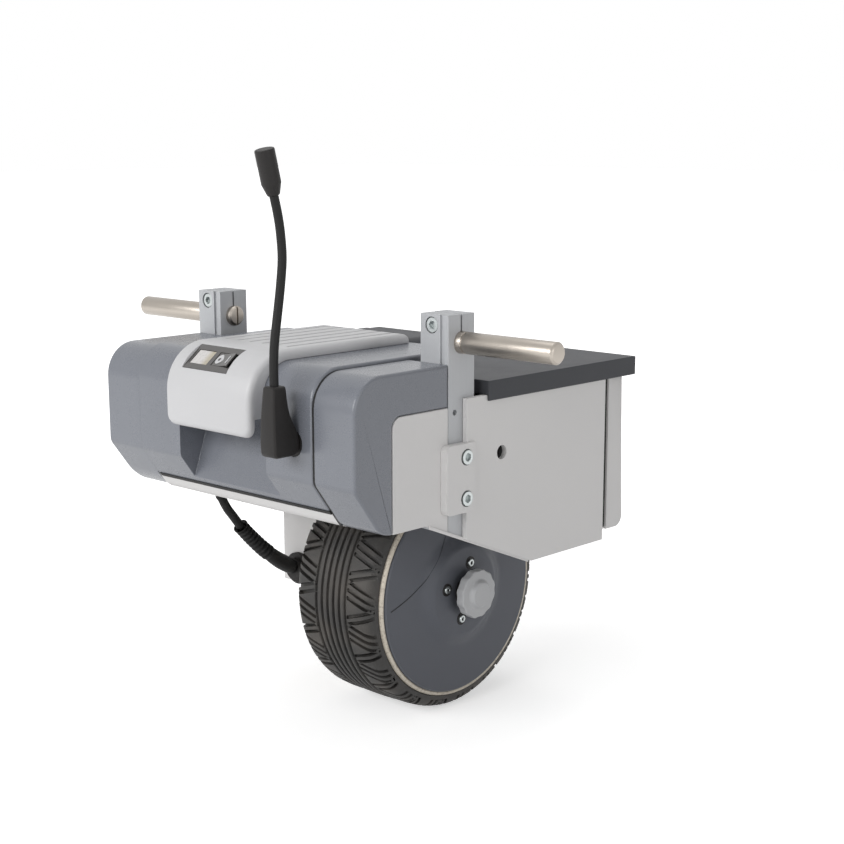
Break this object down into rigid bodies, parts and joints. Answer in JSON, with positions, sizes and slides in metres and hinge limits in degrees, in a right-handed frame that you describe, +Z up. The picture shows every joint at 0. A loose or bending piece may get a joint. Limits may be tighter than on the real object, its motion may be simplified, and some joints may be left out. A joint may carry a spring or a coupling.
{
  "type": "wheelchair power assist",
  "caption": "Clip-on wheelchair power assist: a slide-out battery pack and control panel over one hub-motor wheel, hung on a chair by two clamped side pins.",
  "frame": {"origin": "on the floor under the middle of the unit's box, measured without the control lead", "axes": "+X to the unit's right, +Y to its front, away from the control panel, +Z up"},
  "size_m": [0.428, 0.3176, 0.4347],
  "materials": {
    "body_plastic": "satin blue-grey moulding",
    "lid_plastic": "matt dark grey moulding",
    "panel_plastic": "satin light grey moulding",
    "cast_grey": "light grey powder coat",
    "bar_aluminium": "satin anodised",
    "pin_steel": "turned stainless",
    "axle_steel": "ground steel",
    "zinc_screw": "zinc plated",
    "tyre_rubber": "black rubber with tread",
    "rim_alloy": "cast and machined",
    "hub_plastic": "satin slate grey moulding",
    "knob_plastic": "satin mid grey moulding",
    "black_plastic": "matt black moulding",
    "black_rubber": "matt black rubber",
    "window_plastic": "dark glossy pane",
    "lens_plastic": "milky indicator lens",
    "board_green": "circuit board",
    "heat_sink": "finned casting",
    "stator_iron": "laminations and copper windings",
    "magnet_iron": "magnet ring",
    "cell_wrap": "sealed battery block",
    "contact_brass": "contact blades"
  },
  "bodies": {
    "chassis": {"base_tray": "cast_grey", "left_end_cap": "body_plastic", "right_end_cap": "body_plastic", "left_side_casting": "cast_grey", "right_side_casting": "cast_grey", "left_side_plate": "cast_grey", "right_side_plate": "cast_grey", "wheel_deck": "cast_grey", "wheel_arch": "cast_grey", "front_cover": "cast_grey", "electronics_lid": "lid_plastic", "motor_controller": "heat_sink", "dock_connector": "black_plastic", "wheel_leg": "cast_grey", "leg_screws": "zinc_screw", "motor_socket": "black_plastic", "clamp_screws": "zinc_screw", "lead_gland": "black_rubber", "motor_lead": "black_rubber", "lead_boot": "black_rubber", "lead_plug": "black_plastic", "axle": "axle_steel", "axle_nut": "zinc_screw", "stator": "stator_iron"},
    "wheel": {"tyre": "tyre_rubber", "wheel_rim": "rim_alloy", "magnet_ring": "magnet_iron", "motor_end_plate": "rim_alloy", "wheel_bearings": "axle_steel", "hub_cover": "hub_plastic", "hub_screws": "zinc_screw"},
    "knob": {"hub_knob": "knob_plastic"},
    "battery": {"battery_case": "body_plastic", "battery_front": "body_plastic", "battery_blocks": "cell_wrap", "battery_contacts": "contact_brass", "control_panel": "panel_plastic", "display_window": "window_plastic", "indicator_lens": "lens_plastic", "indicator_board": "board_green", "control_socket": "black_plastic", "control_plug": "black_plastic", "control_cable": "black_rubber", "cable_connector": "black_plastic"},
    "rocker": {"power_rocker": "window_plastic"},
    "left_bar": {"left_mount_bar": "bar_aluminium", "left_pinch_screw": "zinc_screw"},
    "left_pin": {"left_pin": "pin_steel"},
    "right_bar": {"right_mount_bar": "bar_aluminium", "right_pinch_screw": "zinc_screw"},
    "right_pin": {"right_pin": "pin_steel"}
  },
  "joints": [
    {"name": "wheel_spin", "type": "hinge", "parent": "chassis", "child": "wheel", "pos_m": [0, 0.0565, 0.096], "axis": [1, 0, 0], "continuous": true},
    {"name": "knob_turn", "type": "hinge", "parent": "wheel", "child": "knob", "pos_m": [0.06, 0.0565, 0.096], "axis": [1, 0, 0], "range_deg": [0, 90]},
    {"name": "battery_slide", "type": "slide", "parent": "chassis", "child": "battery", "axis": [0, -1, 0], "range_m": [0, 0.2]},
    {"name": "rocker_tilt", "type": "hinge", "parent": "battery", "child": "rocker", "pos_m": [0.0045, -0.13619, 0.28837], "axis": [0, 0.788, 0.6157], "range_deg": [0, 14]},
    {"name": "left_bar_slide", "type": "slide", "parent": "chassis", "child": "left_bar", "axis": [0, 0, 1], "range_m": [-0.015, 0.04]},
    {"name": "left_pin_slide", "type": "slide", "parent": "left_bar", "child": "left_pin", "axis": [-1, 0, 0], "range_m": [-0.006, 0.015]},
    {"name": "right_bar_slide", "type": "slide", "parent": "chassis", "child": "right_bar", "axis": [0, 0, 1], "range_m": [-0.015, 0.04]},
    {"name": "right_pin_slide", "type": "slide", "parent": "right_bar", "child": "right_pin", "axis": [1, 0, 0], "range_m": [-0.006, 0.015]}
  ]
}
